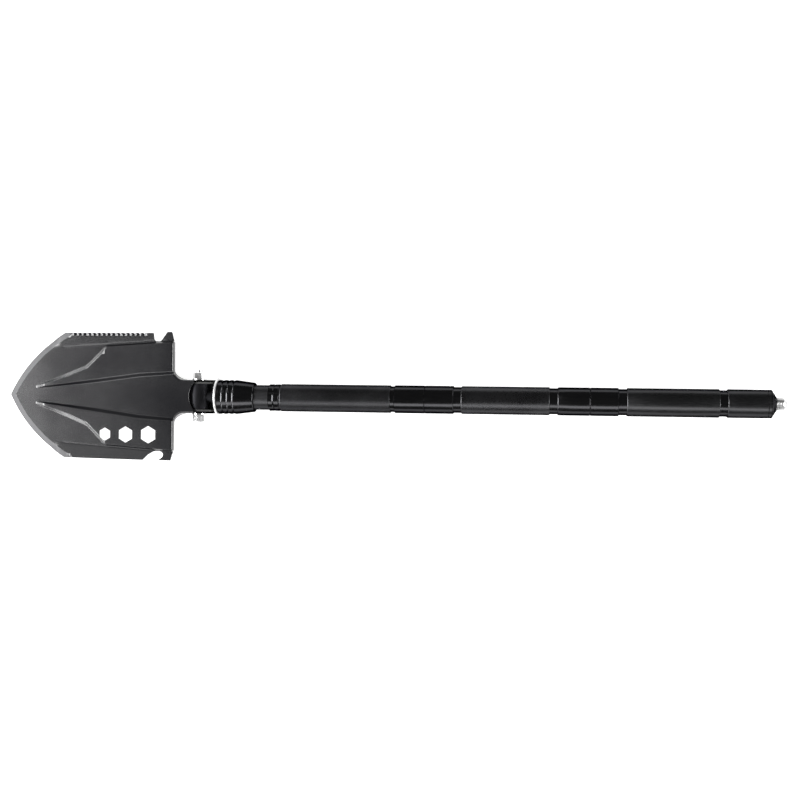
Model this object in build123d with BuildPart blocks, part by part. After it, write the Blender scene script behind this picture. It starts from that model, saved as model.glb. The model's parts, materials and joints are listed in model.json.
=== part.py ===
from build123d import *
from math import atan2, cos, hypot, pi, radians, sin, sqrt, tan
import os

os.makedirs("parts", exist_ok=True)

# ---------------------------------------------------------------- frame (mm)
# +X runs along the handle to the end cap, +Y is the serrated side, +Z is the
# scooping face.  Lengths along the handle are measured from the hinge pivot.
PIVOT_X = -211.3
AXIS_Z = 20.9

TOP = Plane(origin=(PIVOT_X, 0, AXIS_Z), x_dir=(1, 0, 0), z_dir=(0, 0, 1))
SIDE = Plane(origin=(PIVOT_X, 0, AXIS_Z), x_dir=(1, 0, 0), z_dir=(0, -1, 0))
HANDLE_AXIS = Axis((PIVOT_X, 0, AXIS_Z), (1, 0, 0))

# ---------------------------------------------------------------- blade
SHEET = 2.2                 # blade sheet thickness
TIP_X = -219.1              # point of the blade
CORNER_X = -151.8           # where the pointed front meets the straight sides
SIDE_Y = 70.1               # half width at the straight sides
TAB_Y = 71.3                # half width over the rear tabs
REAR_X = -25.2              # rear edge of the blade
WEB_TOP = 15.7              # top of the neck web above the handle axis
NECK_FLAT_X = -14.0         # the web is level behind this station
NECK_BEND = 34.0            # length of the bend in front of it
BLADE_SLOPE = 0.06          # fall of the sheet from the bend to the tip
PAD_RISE = 3.4              # raised wing panels over the base sheet
PAD_START_X = -187.3        # feather point of the wing panels
PAD_FULL_X = -160.6         # panels reach full height here
FEATHER_BEND = (-126.4, 34.7)
FEATHER_END = (-106.1, 54.3)
PAD_WALL = 2.2              # width across the blade of the outer panel wall
FEATHER_WALL = 4.4          # the same along the slanted front edges
CREASE_FRONT = (-158.8, 53.3)
CREASE_REAR = (-25.4, 62.5)
FLANGE_SLOPE = tan(radians(17))
FLANGE_FADE = 14.0
TROUGH = [                  # station, floor half width, top half width
    (-187.3, 7.0, 8.5),
    (-156.7, 9.7, 12.9),
    (-111.2, 13.5, 20.2),
    (-64.5, 19.9, 26.5),
    (-25.4, 23.7, 28.1),
]
FLAT_RISE = 0.05            # panels and flanges never fade out completely
FLAT_SLOPE = 0.01
SECTION_Y = 76.0            # sections reach past the outline before trimming
STATIONS = [
    -226.0, -187.3, -172.8, -160.6, -150.0, -138.0, -126.4, -116.0, -106.1,
    -94.0, -80.0, -64.5, -48.0, -41.0, -34.0, -27.0, -20.0, -14.0, 2.0,
]

# ---------------------------------------------------------------- hinge
EAR_OUT = 18.5              # outer face of the hinge ears
EAR_IN = EAR_OUT - SHEET
EAR_R = 20.3                # ears are rounded about the pivot
EAR_LOW = -16.4             # lower edge of the ears
FILLET_R = 11.0             # plan radius between rear edge and neck
SKIRT = 5.0                 # depth of the folded rear edge
WEB_CUT_R = 24.0            # relief arc in the web
WEB_CUT_X = -8.8            # deepest point of the relief arc
TONGUE_R = 13.0
TONGUE_Y = 14.4
TONGUE_REAR_X = 20.2
SHANK_R = 12.45             # threaded shank under the lock collar
THROAT_R = 8.2              # waist that lets the web swing down behind the tongue
THROAT_END_X = 16.5
SPIGOT_R = 11.0
BOLT_R = 4.0
BOLT_FIT = 0.05
BUSH_R = 6.0
HEX_AF = 13.0
WASHER_R = 8.0
WASHER_T = 1.6
NUT_H = 6.8
HEAD_H = 8.2
BOLT_STUB = 3.4

# ---------------------------------------------------------------- handle
TUBE_R = 15.3
TUBE_BORE = 13.7
GROOVE_R = 14.1
EDGE = 0.6                  # chamfer on turned edges
STUD_R = 9.45               # male joint studs
SOCKET_R = 9.5              # female joint bores
SEAM = 0.2                  # open line between screwed sections
PLUG = 15.0                 # length of each coupling inside its tube

O_SEAT_R = 10.6             # counterbore that takes a seal
O_SEAT = 3.0
O_RING_R = 1.1              # half thickness of a seal
O_NECK_R = 8.3              # neck behind a stud that a seal sits on
O_NECK = 2 * O_RING_R + 0.4   # length of that neck
STUD = 17.6                 # length of a male joint stud

NECK_TUBE = (52.0, 112.0)
FERRULE = (80.4, 92.4, 14.75)
TUBE_A = (93.4, 216.0)
COUPLING_A = (220.4, 253.6)
COUPLING_B1 = (253.6 + SEAM, 285.4)
TUBE_B = (293.6, 389.2)
COUPLING_B2 = (397.8, 432.6)
COUPLING_C1 = (432.6 + SEAM, 463.0)
TUBE_C = (471.5, 569.0)
CAP = (577.0, 623.6)
CAP_CONE_X = 628.2
BREAKER = (628.2, 636.1, 641.7)
BREAKER_R = 7.25

RING = (20.6, 23.0, 20.9)   # bright lock ring
COLLAR = (23.1, 63.9)
COLLAR_R = 18.9
COLLAR_REAR_R = 16.3
COLLAR_CONE_X = 43.8
COLLAR_THREAD_END = 43.0
COLLAR_RELIEF_R = 14.2
RING_HUB_R = 14.2
RING_HUB_END = 27.0


def lerp(x, a, b):
    """Straight line through two (x, value) pairs."""
    return a[1] + (b[1] - a[1]) * (x - a[0]) / (b[0] - a[0])


def clamp(value):
    return max(0.0, min(1.0, value))


def floor_z(x):
    """Top of the base sheet above the handle axis: level web, bend, even fall."""
    past = max(0.0, NECK_FLAT_X - x)
    if past < NECK_BEND:
        return WEB_TOP - BLADE_SLOPE * past ** 2 / (2 * NECK_BEND)
    return WEB_TOP - BLADE_SLOPE * (past - NECK_BEND / 2)


def trough_y(x, column):
    """Half width of the central trough (column 1 floor, column 2 top)."""
    for low, high in zip(TROUGH, TROUGH[1:]):
        if x <= high[0]:
            break
    return lerp(x, (low[0], low[column]), (high[0], high[column]))


def crease_y(x):
    return lerp(x, CREASE_FRONT, CREASE_REAR)


def pad_edge_y(x):
    """Foot of the outer wall of a wing panel."""
    if x < FEATHER_BEND[0]:
        return lerp(x, (PAD_START_X, 10.2), FEATHER_BEND)
    if x < FEATHER_END[0]:
        return lerp(x, FEATHER_BEND, FEATHER_END)
    return crease_y(x) - 0.8


def half_section(x):
    """Top line of the sheet for y > 0, centre to outer edge."""
    z = floor_z(x)
    ramp = clamp((x - PAD_START_X) / (PAD_FULL_X - PAD_START_X))
    rise = max(FLAT_RISE, PAD_RISE * ramp)
    station = max(x, PAD_START_X)
    foot = trough_y(station, 1)
    top = trough_y(station, 2)
    edge = max(pad_edge_y(station), top + 1.6)
    slanted = clamp((FEATHER_END[0] + 4 - x) / 8)
    wall = min(PAD_WALL + (FEATHER_WALL - PAD_WALL) * slanted, (edge - top) * 0.5)
    fade = clamp((x - CREASE_FRONT[0]) / FLANGE_FADE + 1.0)
    fold = max(FLAT_SLOPE, FLANGE_SLOPE * fade)
    crease = crease_y(x)
    return [
        (foot, z),
        (top, z + rise),
        (edge - wall, z + rise),
        (edge, z),
        (crease, z),
        (SECTION_Y, z + fold * (SECTION_Y - crease)),
    ]


def section_points(x):
    half = half_section(x)
    upper = [(-y, z) for y, z in reversed(half)] + half
    lower = [(y, z - SHEET) for y, z in reversed(upper)]
    return upper + lower


def hex_radius(across_flats):
    return across_flats / sqrt(3)


def arc_centre(a, b, c):
    """Centre and radius of the circle through three plan points."""
    d = 2 * (a[0] * (b[1] - c[1]) + b[0] * (c[1] - a[1]) + c[0] * (a[1] - b[1]))
    sa = a[0] ** 2 + a[1] ** 2
    sb = b[0] ** 2 + b[1] ** 2
    sc = c[0] ** 2 + c[1] ** 2
    x = (sa * (b[1] - c[1]) + sb * (c[1] - a[1]) + sc * (a[1] - b[1])) / d
    y = (sa * (c[0] - b[0]) + sb * (a[0] - c[0]) + sc * (b[0] - a[0])) / d
    return x, y, hypot(a[0] - x, a[1] - y)


def finish(piece, label):
    piece.part.label = label
    export_step(piece.part, "parts/" + label + ".step")


def turned(label, profile):
    """Piece turned about the handle axis from a closed (x, radius) line."""
    with BuildPart() as piece:
        with BuildSketch(TOP):
            with BuildLine():
                Polyline(*profile, close=True)
            make_face()
        revolve(axis=HANDLE_AXIS)
    finish(piece, label)
    return piece


def tube(label, ends):
    x0, x1 = ends
    return turned(label, [
        (x0, TUBE_BORE), (x0, TUBE_R - EDGE), (x0 + EDGE, TUBE_R),
        (x1 - EDGE, TUBE_R), (x1, TUBE_R - EDGE), (x1, TUBE_BORE),
    ])


# ================================================================ blade
TIP_MID = (-184.0, 47.5)
SERRATION_START = -141.3
SERRATION_PITCH = 5.64
SERRATION_COUNT = 15
SERRATION_R = 2.7
SERRATION_REACH = 3.2
SERRATION_TILT = 45
HEX_HOLES = [(-104.1, -43.2, 13.0), (-79.8, -43.2, 16.0), (-53.3, -43.0, 17.0)]
NOTCH_FLOOR = 61.0
BEVEL_WIDTH = 6.0
BEVEL_DROP = 1.5

upper_notch = [
    (-48.4, TAB_Y + 3), (-48.4, 63.5), (-46.0, NOTCH_FLOOR),
    (-41.2, NOTCH_FLOOR), (-39.2, 62.7), (-33.6, 69.6), (-32.8, TAB_Y + 3),
]
hook_notch = [
    (-60.0, -TAB_Y - 1.2), (-58.8, -70.8), (-53.9, -65.2), (-48.3, -61.8),
    (-40.9, -61.0), (-37.2, -62.6), (-36.2, -65.6), (-38.2, -68.8), (-41.0, -70.2),
    (-41.0, -TAB_Y - 1.2),
]

NECK_STATIONS = [-48.0, -41.0, -34.0, -27.0, -20.0, -14.0, 26.0]
FOLD_OVERLAP = 0.4          # folds stay this far under the sheet's top

with BuildPart() as folded_edge:
    # everything below the top of the sheet, near the neck
    for station in NECK_STATIONS:
        cross = Plane(
            origin=(PIVOT_X + station, 0, AXIS_Z), x_dir=(0, 1, 0), z_dir=(1, 0, 0)
        )
        half = [(y, z - FOLD_OVERLAP) for y, z in half_section(station)]
        with BuildSketch(cross):
            with BuildLine():
                Polyline(
                    (-SECTION_Y, -40.0), (SECTION_Y, -40.0), *reversed(half),
                    *[(-y, z) for y, z in half], close=True,
                )
            make_face()
    loft(ruled=True)
    # plan of the fold: rear edge, round the fillet and along the ear
    with BuildSketch(TOP.offset(-45)):
        for side in (1, -1):
            start = side * (EAR_OUT + FILLET_R)
            with BuildLine():
                Polyline((REAR_X - SHEET, start), (REAR_X - SHEET, side * 60.0),
                         (REAR_X, side * 60.0), (REAR_X, start))
                ThreePointArc(
                    (REAR_X, start),
                    (REAR_X + FILLET_R * (1 - cos(pi / 4)),
                     side * (EAR_OUT + FILLET_R * (1 - sin(pi / 4)))),
                    (REAR_X + FILLET_R, side * EAR_OUT),
                )
                Polyline((REAR_X + FILLET_R, side * EAR_OUT), (EAR_R, side * EAR_OUT),
                         (EAR_R, side * EAR_IN), (REAR_X + FILLET_R, side * EAR_IN))
                ThreePointArc(
                    (REAR_X + FILLET_R, side * EAR_IN),
                    (REAR_X + FILLET_R - (FILLET_R + SHEET) * cos(pi / 4),
                     side * (EAR_OUT + FILLET_R - (FILLET_R + SHEET) * sin(pi / 4))),
                    (REAR_X - SHEET, start),
                )
            make_face()
    extrude(amount=80, mode=Mode.INTERSECT)
    # side view of the fold and of the ears
    with BuildSketch(SIDE):
        with BuildLine():
            Polyline(
                (REAR_X - 6, WEB_TOP - SKIRT), (REAR_X, WEB_TOP - SKIRT),
                (REAR_X + 7, EAR_LOW + 6), (REAR_X + 12, EAR_LOW), (0, EAR_LOW),
                (0, 24), (REAR_X - 6, 24), close=True,
            )
        make_face()
        with Locations((0, 0)):
            Circle(EAR_R)
    extrude(amount=90, both=True, mode=Mode.INTERSECT)

BEVEL_LIMIT_Y = 53.0        # the bevel stops where the flanges fold up
tilt = atan2(BLADE_SLOPE, 1)


def edge_bevel(side):
    """Wedge ground off the top along one edge of the point."""
    cx, cy, radius = arc_centre(
        (TIP_X, 0), (TIP_MID[0], side * TIP_MID[1]), (CORNER_X, side * SIDE_Y)
    )
    ground = Plane(
        origin=(PIVOT_X + cx, cy, AXIS_Z + floor_z(TIP_X) + BLADE_SLOPE * (cx - TIP_X)),
        x_dir=(cos(tilt), 0, sin(tilt)), z_dir=(0, -1, 0),
    )
    with BuildPart() as wedge:
        with BuildSketch(ground):
            with BuildLine():
                Polyline(
                    (BEVEL_WIDTH - radius, 0.02), (-radius - 3, 4.0),
                    (-radius - 3, -BEVEL_DROP * (BEVEL_WIDTH + 3) / BEVEL_WIDTH),
                    close=True,
                )
            make_face()
        revolve(axis=Axis(ground.origin, (-sin(tilt), 0, cos(tilt))))
        with BuildSketch(TOP.offset(-60)):
            with Locations((CORNER_X - 60, side * BEVEL_LIMIT_Y / 2)):
                Rectangle(130, BEVEL_LIMIT_Y)
        extrude(amount=120, mode=Mode.INTERSECT)
    return wedge.part


upper_bevel = edge_bevel(1)
lower_bevel = edge_bevel(-1)

with BuildPart() as shovel_blade:
    # ruled sheet: trough, wing panels and folded side flanges
    for station in STATIONS:
        cross = Plane(
            origin=(PIVOT_X + station, 0, AXIS_Z), x_dir=(0, 1, 0), z_dir=(1, 0, 0)
        )
        with BuildSketch(cross):
            with BuildLine():
                Polyline(*section_points(station), close=True)
            make_face()
    loft(ruled=True)
    # trim to the plan outline
    with BuildSketch(TOP.offset(-60)):
        with BuildLine():
            ThreePointArc((TIP_X, 0), TIP_MID, (CORNER_X, SIDE_Y))
            Polyline(
                (CORNER_X, SIDE_Y), (-48.6, 70.2), (-33.6, 70.1), (-32.2, TAB_Y),
                (-26.9, TAB_Y), (-26.0, 64.2), (REAR_X, 60.0), (REAR_X, EAR_OUT + FILLET_R),
            )
            RadiusArc(
                (REAR_X, EAR_OUT + FILLET_R), (REAR_X + FILLET_R, EAR_OUT), -FILLET_R
            )
            Polyline((REAR_X + FILLET_R, EAR_OUT), (-2.0, EAR_OUT), (-2.0, -EAR_OUT),
                     (REAR_X + FILLET_R, -EAR_OUT))
            RadiusArc(
                (REAR_X + FILLET_R, -EAR_OUT), (REAR_X, -EAR_OUT - FILLET_R), -FILLET_R
            )
            Polyline(
                (REAR_X, -EAR_OUT - FILLET_R), (REAR_X, -60.0), (-26.4, -65.3),
                (-27.7, -TAB_Y), (-58.8, -TAB_Y), (CORNER_X, -SIDE_Y),
            )
            ThreePointArc(
                (CORNER_X, -SIDE_Y), (TIP_MID[0], -TIP_MID[1]), (TIP_X, 0)
            )
        make_face()
        for notch in (upper_notch, hook_notch):
            with BuildLine():
                Polyline(*notch, close=True)
            make_face(mode=Mode.SUBTRACT)
        for x, y, across in HEX_HOLES:
            with Locations((x, y)):
                RegularPolygon(
                    radius=hex_radius(across), side_count=6, rotation=30,
                    mode=Mode.SUBTRACT,
                )
    extrude(amount=120, mode=Mode.INTERSECT)
    # slant-ground scallops along the serrated edge
    for index in range(SERRATION_COUNT):
        x = SERRATION_START + SERRATION_PITCH * (index + 0.5)
        top = floor_z(x) + FLANGE_SLOPE * (SIDE_Y - crease_y(x))
        with Locations(
            Location(
                (PIVOT_X + x, SIDE_Y - SERRATION_REACH + SERRATION_R + 1.2, AXIS_Z + top),
                (SERRATION_TILT, 0, 0),
            )
        ):
            Cylinder(radius=SERRATION_R, height=14, mode=Mode.SUBTRACT)
    add(upper_bevel, mode=Mode.SUBTRACT)
    add(lower_bevel, mode=Mode.SUBTRACT)
    # relief arc behind the web, folds, ears and bolt holes
    with BuildSketch(TOP.offset(WEB_TOP - 6)):
        with Locations((WEB_CUT_X + WEB_CUT_R, 0)):
            Circle(WEB_CUT_R)
        with Locations((-8, 0)):
            Rectangle(20, 2 * EAR_IN, mode=Mode.INTERSECT)
    extrude(amount=12, mode=Mode.SUBTRACT)
    add(folded_edge.part)
    with BuildSketch(SIDE):
        Circle(BOLT_R + BOLT_FIT)
    extrude(amount=40, both=True, mode=Mode.SUBTRACT)
finish(shovel_blade, "shovel_blade")


# ================================================================ hinge hardware
def across(y):
    """Plane facing +Y through the pivot line at height y."""
    return Plane(origin=(PIVOT_X, y, AXIS_Z), x_dir=(1, 0, 0), z_dir=(0, 1, 0))


WASHER_OUT = EAR_OUT + WASHER_T

with BuildPart() as pivot_bolt:
    with BuildSketch(across(-WASHER_OUT - HEAD_H)):
        RegularPolygon(radius=hex_radius(HEX_AF), side_count=6, rotation=30)
    extrude(amount=HEAD_H)
    with BuildSketch(across(-WASHER_OUT - 0.1)):
        Circle(BOLT_R)
    extrude(amount=2 * WASHER_OUT + NUT_H + BOLT_STUB + 0.1)
    chamfer(pivot_bolt.faces().sort_by(Axis.Y)[-1].edges(), 0.8)
    chamfer(pivot_bolt.faces().sort_by(Axis.Y)[0].edges(), 0.7)
finish(pivot_bolt, "pivot_bolt")

with BuildPart() as pivot_nut:
    with BuildSketch(across(WASHER_OUT)):
        RegularPolygon(radius=hex_radius(HEX_AF), side_count=6)
        Circle(BOLT_R, mode=Mode.SUBTRACT)
    extrude(amount=NUT_H)
    chamfer(pivot_nut.faces().sort_by(Axis.Y)[-1].outer_wire().edges(), 0.7)
finish(pivot_nut, "pivot_nut")

with BuildPart() as pivot_washers:
    for y in (EAR_OUT, -WASHER_OUT):
        with BuildSketch(across(y)):
            Circle(WASHER_R)
            Circle(BOLT_R, mode=Mode.SUBTRACT)
        extrude(amount=WASHER_T)
finish(pivot_washers, "pivot_washers")

SPACER_GAP = 0.1
SPACER_R = 13.0
SPACER_TAIL_X = 19.0
SPACER_SWING_R = 19.8       # stays clear of the lock ring when the blade folds

with BuildPart() as hinge_spacers:
    spacer_t = EAR_IN - TONGUE_Y - SPACER_GAP
    for y in (TONGUE_Y + SPACER_GAP, -EAR_IN):
        with BuildSketch(across(y)):
            Circle(SPACER_R)
            with Locations((SPACER_TAIL_X / 2, 0)):
                Rectangle(SPACER_TAIL_X, 2 * SPACER_R)
            with Locations((0, 0)):
                Circle(SPACER_SWING_R, mode=Mode.INTERSECT)
            Circle(BOLT_R, mode=Mode.SUBTRACT)
        extrude(amount=spacer_t)
finish(hinge_spacers, "hinge_spacers")

# ================================================================ front handle
with BuildPart() as hinge_block:
    with BuildSketch(SIDE):
        Circle(TONGUE_R)
        with Locations((TONGUE_REAR_X / 2, -TONGUE_R / 2 + 1.5)):
            Rectangle(TONGUE_REAR_X, TONGUE_R + 3)
    extrude(amount=TONGUE_Y, both=True)
    with BuildSketch(TOP):
        with BuildLine():
            Polyline(
                (0, 0), (0, THROAT_R), (THROAT_END_X, THROAT_R),
                (THROAT_END_X, SHANK_R - 0.6), (THROAT_END_X + 0.6, SHANK_R),
                (NECK_TUBE[0] - 1, SHANK_R),
                (NECK_TUBE[0] - 1, SPIGOT_R), (NECK_TUBE[0] + 46, SPIGOT_R),
                (NECK_TUBE[0] + 46, 0), close=True,
            )
        make_face()
    revolve(axis=HANDLE_AXIS)
    with BuildSketch(SIDE):
        Circle(BUSH_R)
    extrude(amount=30, both=True, mode=Mode.SUBTRACT)
finish(hinge_block, "hinge_block")

with BuildPart() as pivot_bush:
    with BuildSketch(SIDE):
        Circle(BUSH_R)
        Circle(BOLT_R + BOLT_FIT, mode=Mode.SUBTRACT)
    extrude(amount=TONGUE_Y, both=True)
finish(pivot_bush, "pivot_bush")

turned("neck_tube", [
    (NECK_TUBE[0], SPIGOT_R), (NECK_TUBE[0], TUBE_BORE), (NECK_TUBE[1], TUBE_BORE),
    (NECK_TUBE[1], SPIGOT_R),
])
ferrule_mid = (FERRULE[0] + FERRULE[1]) / 2
FERRULE_EDGE = 0.5
turned("front_ferrule", [
    (FERRULE[0], TUBE_BORE), (FERRULE[0], FERRULE[2] - FERRULE_EDGE),
    (FERRULE[0] + FERRULE_EDGE, FERRULE[2]), (ferrule_mid - 0.9, FERRULE[2]),
    (ferrule_mid, FERRULE[2] - 0.7), (ferrule_mid + 0.9, FERRULE[2]),
    (FERRULE[1] - FERRULE_EDGE, FERRULE[2]), (FERRULE[1], FERRULE[2] - FERRULE_EDGE),
    (FERRULE[1], TUBE_BORE),
])
tube("grip_tube_a", TUBE_A)

# ================================================================ lock collar
turned("lock_ring", [
    (RING[0], SOCKET_R + 3.0), (RING[0], RING[2] - 0.5), (RING[0] + 0.5, RING[2]),
    (RING[1] - 0.5, RING[2]), (RING[1], RING[2] - 0.5), (RING[1], RING_HUB_R),
    (RING_HUB_END, RING_HUB_R), (RING_HUB_END, SOCKET_R + 3.0),
])

RIB_COUNT = 3
RIB_PITCH = 6.2
RIB_DIP = 0.5
RIB_R = 4.2                 # section radius of the finger grooves

rib_start = COLLAR[0] + 1.6
with BuildPart() as lock_collar:
    with BuildSketch(TOP):
        with BuildLine():
            Polyline(
                (COLLAR[0], RING_HUB_R + 0.05), (COLLAR[0], COLLAR_R - 0.6),
                (COLLAR[0] + 0.6, COLLAR_R), (COLLAR_CONE_X, COLLAR_R),
                (COLLAR[1] - 0.6, COLLAR_REAR_R), (COLLAR[1], COLLAR_REAR_R - 0.6),
                (COLLAR[1], COLLAR_RELIEF_R), (COLLAR_THREAD_END, COLLAR_RELIEF_R),
                (COLLAR_THREAD_END, SOCKET_R + 3.0), (RING_HUB_END + 0.3, SOCKET_R + 3.0),
                (RING_HUB_END + 0.3, RING_HUB_R + 0.05), close=True,
            )
        make_face()
        for index in range(RIB_COUNT):
            with Locations((rib_start + RIB_PITCH * (index + 0.5), COLLAR_R + RIB_R - RIB_DIP)):
                Circle(RIB_R, mode=Mode.SUBTRACT)
    revolve(axis=HANDLE_AXIS)
finish(lock_collar, "lock_collar")


# ================================================================ screwed sections
def socket(label, tube_end, body, direction):
    """Female coupling: plug in its tube, groove, body and through bore."""
    plug_end = tube_end - direction * PLUG
    groove = tube_end
    start = body[0] if direction > 0 else body[1]
    end = body[1] if direction > 0 else body[0]
    return turned(label, [
        (plug_end, SOCKET_R), (plug_end, TUBE_BORE), (groove, TUBE_BORE),
        (groove, GROOVE_R), (start, GROOVE_R), (start, TUBE_R - EDGE),
        (start + direction * EDGE, TUBE_R), (end - direction * 0.4, TUBE_R),
        (end, TUBE_R - 0.4), (end, O_SEAT_R), (end - direction * O_SEAT, O_SEAT_R),
        (end - direction * O_SEAT, SOCKET_R),
    ])


def stud_coupling(body, tube_start):
    """Male coupling outline: stud toward -X, body, groove and plug."""
    x0, x1 = body
    return [
        (x0 - STUD, 0), (x0 - STUD, STUD_R - 0.6), (x0 - STUD + 0.6, STUD_R),
        (x0 - O_NECK, STUD_R), (x0 - O_NECK, O_NECK_R),
        (x0, O_NECK_R), (x0, TUBE_R - 0.4), (x0 + 0.4, TUBE_R), (x1 - EDGE, TUBE_R),
        (x1, TUBE_R - EDGE), (x1, GROOVE_R), (tube_start, GROOVE_R),
        (tube_start, TUBE_BORE), (tube_start + PLUG, TUBE_BORE), (tube_start + PLUG, 0),
    ]


def o_ring(label, shoulder):
    """Rubber ring in the neck behind a stud's shoulder."""
    with BuildPart() as piece:
        with BuildSketch(TOP):
            with Locations((shoulder - O_RING_R, O_NECK_R + O_RING_R)):
                Circle(O_RING_R)
        revolve(axis=HANDLE_AXIS)
    finish(piece, label)


KNIFE_T = 3.0
KNIFE_TIP_X = 130.0
KNIFE_HEEL_X = 214.0
KNIFE_HALF = 8.2
TANG_HALF = 6.0
TANG_DEPTH = 14.0
PIN_R = 1.5
TOOTH = 2.4
TOOTH_COUNT = 12
knife_root = COUPLING_B1[0] - STUD

socket("coupling_a", TUBE_A[1], COUPLING_A, 1)

with BuildPart() as coupling_b_front:
    with BuildSketch(TOP):
        with BuildLine():
            Polyline(*stud_coupling(COUPLING_B1, TUBE_B[0]), close=True)
        make_face()
    revolve(axis=HANDLE_AXIS)
    with BuildSketch(TOP.offset(-KNIFE_T / 2)):
        with Locations((knife_root, 0)):
            Rectangle(2 * TANG_DEPTH, 2 * TANG_HALF)
    extrude(amount=KNIFE_T, mode=Mode.SUBTRACT)
    with BuildSketch(TOP):
        with Locations((knife_root + 5, 3.2), (knife_root + 5, -3.2)):
            Circle(PIN_R)
    extrude(amount=STUD_R, both=True, mode=Mode.SUBTRACT)
finish(coupling_b_front, "coupling_b_front")

with BuildPart() as knife_blade:
    with BuildSketch(TOP.offset(-KNIFE_T / 2)):
        with BuildLine():
            Polyline(
                (knife_root + TANG_DEPTH, TANG_HALF), (knife_root + TANG_DEPTH, -TANG_HALF),
                (knife_root, -TANG_HALF), (KNIFE_HEEL_X + 6, -TANG_HALF),
                (KNIFE_HEEL_X, -KNIFE_HALF), (KNIFE_TIP_X + 24, -KNIFE_HALF),
                (KNIFE_TIP_X + 10, -4.6), (KNIFE_TIP_X, 3.0), (KNIFE_TIP_X + 14, KNIFE_HALF),
                (KNIFE_HEEL_X, KNIFE_HALF), (KNIFE_HEEL_X + 6, TANG_HALF),
                (knife_root, TANG_HALF), close=True,
            )
        make_face()
        for index in range(TOOTH_COUNT):
            x = KNIFE_TIP_X + 28 + 4.0 * index
            with BuildLine():
                Polyline(
                    (x, KNIFE_HALF + 1), (x + TOOTH / 2 + 0.6, KNIFE_HALF - TOOTH),
                    (x + TOOTH + 1.2, KNIFE_HALF + 1), close=True,
                )
            make_face(mode=Mode.SUBTRACT)
        with Locations((knife_root + 5, 3.2), (knife_root + 5, -3.2)):
            Circle(PIN_R, mode=Mode.SUBTRACT)
    extrude(amount=KNIFE_T)
finish(knife_blade, "knife_blade")

with BuildPart() as knife_pins:
    with BuildSketch(TOP):
        with Locations((knife_root + 5, 3.2), (knife_root + 5, -3.2)):
            Circle(PIN_R)
    extrude(amount=8.2, both=True)
finish(knife_pins, "knife_pins")

o_ring("o_ring_front", COUPLING_B1[0])
tube("grip_tube_b", TUBE_B)
socket("coupling_b_rear", TUBE_B[1], COUPLING_B2, 1)

HOLDER_R = 6.8
HOLDER_SPIGOT_R = 4.6
HOLDER_LENGTH = 16.0
SPIGOT_DEPTH = 11.0
STEEL_R = 4.0
STEEL_GRIP = 11.0
STEEL_TIP_X = 332.0
stud_c = COUPLING_C1[0] - STUD

with BuildPart() as coupling_c_front:
    with BuildSketch(TOP):
        with BuildLine():
            Polyline(*stud_coupling(COUPLING_C1, TUBE_C[0]), close=True)
        make_face()
    revolve(axis=HANDLE_AXIS)
    with BuildSketch(TOP):
        with BuildLine():
            Polyline(
                (stud_c - 1, 0), (stud_c - 1, HOLDER_SPIGOT_R),
                (stud_c + SPIGOT_DEPTH, HOLDER_SPIGOT_R), (stud_c + SPIGOT_DEPTH, 0),
                close=True,
            )
        make_face()
    revolve(axis=HANDLE_AXIS, mode=Mode.SUBTRACT)
finish(coupling_c_front, "coupling_c_front")

holder_x = stud_c - HOLDER_LENGTH
turned("fire_steel_holder", [
    (holder_x, STEEL_R), (holder_x, HOLDER_R - 0.8), (holder_x + 0.8, HOLDER_R),
    (stud_c, HOLDER_R), (stud_c, HOLDER_SPIGOT_R), (stud_c + SPIGOT_DEPTH, HOLDER_SPIGOT_R),
    (stud_c + SPIGOT_DEPTH, 0), (holder_x + STEEL_GRIP, 0), (holder_x + STEEL_GRIP, STEEL_R),
])
turned("fire_steel_rod", [
    (STEEL_TIP_X, 0), (STEEL_TIP_X, STEEL_R - 0.5), (STEEL_TIP_X + 0.5, STEEL_R),
    (holder_x + STEEL_GRIP, STEEL_R), (holder_x + STEEL_GRIP, 0),
])

o_ring("o_ring_rear", COUPLING_C1[0])
tube("grip_tube_c", TUBE_C)

CAP_SEAT_X = CAP[0] - SEAM
CAP_STUD = 15.0
CAP_HOLLOW_R = 6.0
CAP_HOLLOW = 18.0            # the hollow ends in a drill point this far inside
CAP_GROOVE_X = CAP[1] - 4.3  # turned ring in front of the cone
CAP_GROOVE = 0.5
BREAKER_SHANK_R = 4.0
BREAKER_SHANK_X = 612.0

turned("cap_socket", [
    (TUBE_C[1] - PLUG, SOCKET_R), (TUBE_C[1] - PLUG, TUBE_BORE), (TUBE_C[1], TUBE_BORE),
    (TUBE_C[1], GROOVE_R), (CAP_SEAT_X, GROOVE_R), (CAP_SEAT_X, O_SEAT_R),
    (CAP_SEAT_X - O_SEAT, O_SEAT_R), (CAP_SEAT_X - O_SEAT, SOCKET_R),
])
turned("end_cap", [
    (CAP[0] - CAP_STUD, CAP_HOLLOW_R), (CAP[0] - CAP_STUD, STUD_R),
    (CAP[0] - O_NECK, STUD_R), (CAP[0] - O_NECK, O_NECK_R),
    (CAP[0], O_NECK_R), (CAP[0], TUBE_R - EDGE), (CAP[0] + EDGE, TUBE_R),
    (CAP_GROOVE_X - CAP_GROOVE, TUBE_R), (CAP_GROOVE_X, TUBE_R - CAP_GROOVE),
    (CAP_GROOVE_X + CAP_GROOVE, TUBE_R), (CAP[1], TUBE_R),
    (CAP_CONE_X, BREAKER_R + 0.7), (CAP_CONE_X, BREAKER_SHANK_R),
    (BREAKER_SHANK_X, BREAKER_SHANK_R), (BREAKER_SHANK_X, 0),
    (CAP[0] + CAP_HOLLOW + 2, 0), (CAP[0] + CAP_HOLLOW, CAP_HOLLOW_R),
])
o_ring("o_ring_cap", CAP[0])
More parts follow.
